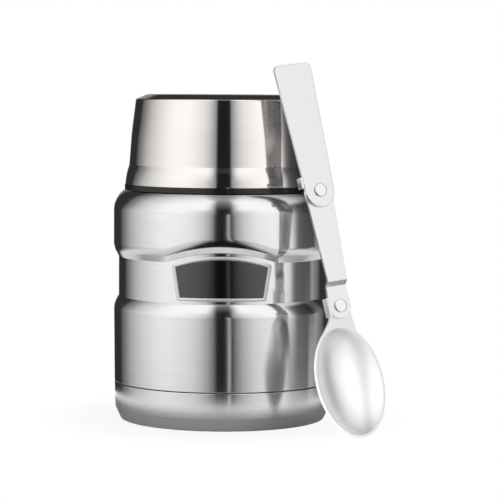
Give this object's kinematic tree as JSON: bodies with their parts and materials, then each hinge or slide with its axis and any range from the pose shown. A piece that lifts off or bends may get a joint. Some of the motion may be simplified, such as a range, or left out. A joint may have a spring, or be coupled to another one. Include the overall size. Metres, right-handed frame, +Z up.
{
  "type": "insulated food jar",
  "caption": "Round vacuum-insulated steel food jar with a waist, a bare front badge, a screw stopper with a spoon compartment, a screw-on cup, and a folding spoon standing beside it.",
  "frame": {"origin": "centre of the foot ring, on the surface that the jar stands on", "axes": "+Z up along the jar's axis, -Y towards the badge, the folding spoon stands at +X -Y"},
  "size_m": [0.1161, 0.1148, 0.1547],
  "materials": {
    "body_steel": "horizontally brushed, satin",
    "cup_steel": "finely brushed, satin, slightly warm",
    "vessel_steel": "smooth drawn, satin",
    "spoon_steel": "fine satin",
    "rivet_steel": "polished",
    "badge_chrome": "polished",
    "badge_face": "glossy",
    "black_plastic": "glossy",
    "stopper_plastic": "fine matt",
    "cover_plastic": "fine matt",
    "silicone": "matt",
    "white_foam": "matt",
    "copper_foil": "bright foil",
    "getter_metal": "matt, sintered",
    "seal_metal": "dull bead"
  },
  "bodies": {
    "jar": {"outer_shell": "body_steel", "base_cup": "body_steel", "inner_vessel": "vessel_steel", "heat_foil": "copper_foil", "getter": "getter_metal", "vacuum_seal": "seal_metal", "badge_plate": "badge_chrome", "badge_inlay": "badge_face"},
    "stopper_seal": {"stopper_gasket": "silicone"},
    "stopper": {"stopper_body": "stopper_plastic", "stopper_plug": "stopper_plastic", "stopper_skirt": "stopper_plastic", "stopper_cap": "stopper_plastic", "stopper_foam": "white_foam"},
    "spoon_cover": {"spoon_cover": "cover_plastic"},
    "cup_seal": {"cup_seal": "silicone"},
    "cup": {"cup_shell": "cup_steel", "cup_ring": "black_plastic", "cup_bowl": "vessel_steel"},
    "spoon_link": {"spoon_link": "spoon_steel", "rivet_lower": "rivet_steel", "rivet_upper": "rivet_steel"},
    "spoon_bowl": {"spoon_bowl": "spoon_steel"},
    "spoon_handle": {"spoon_handle": "spoon_steel"}
  },
  "joints": [
    {"name": "stopper_lift", "type": "slide", "parent": "jar", "child": "stopper_seal", "axis": [0, 0, 1], "range_m": [0, 0.0481]},
    {"name": "stopper_turn", "type": "hinge", "parent": "stopper_seal", "child": "stopper", "pos_m": [0, 0, 0.111], "axis": [0, 0, 1], "range_deg": [0, 1080]},
    {"name": "cup_lift", "type": "slide", "parent": "stopper", "child": "cup_seal", "axis": [0, 0, 1], "range_m": [0, 0.0721]},
    {"name": "cup_turn", "type": "hinge", "parent": "cup_seal", "child": "cup", "pos_m": [0, 0, 0.115], "axis": [0, 0, 1], "range_deg": [0, 1080]},
    {"name": "spoon_cover_lift", "type": "slide", "parent": "stopper", "child": "spoon_cover", "axis": [0, 0, 1], "range_m": [0, 0.0241]},
    {"name": "spoon_lift", "type": "slide", "parent": "jar", "child": "spoon_link", "axis": [0, 0, 1], "range_m": [0, 0.08]},
    {"name": "bowl_fold", "type": "hinge", "parent": "spoon_link", "child": "spoon_bowl", "pos_m": [0.0488, -0.04911, 0.0537], "axis": [0.4889, -0.8324, 0.2609], "range_deg": [0, 180]},
    {"name": "handle_fold", "type": "hinge", "parent": "spoon_link", "child": "spoon_handle", "pos_m": [0.03859, -0.04043, 0.10052], "axis": [-0.4889, 0.8324, -0.2609], "range_deg": [0, 180]}
  ],
  "couplings": [
    {"joint": "stopper_lift", "follows": "stopper_turn", "m_per_rad": 0.0025465},
    {"joint": "cup_lift", "follows": "cup_turn", "m_per_rad": 0.0038197},
    {"joint": "spoon_cover_lift", "follows": "cup_turn", "m_per_rad": 0.0012732}
  ]
}
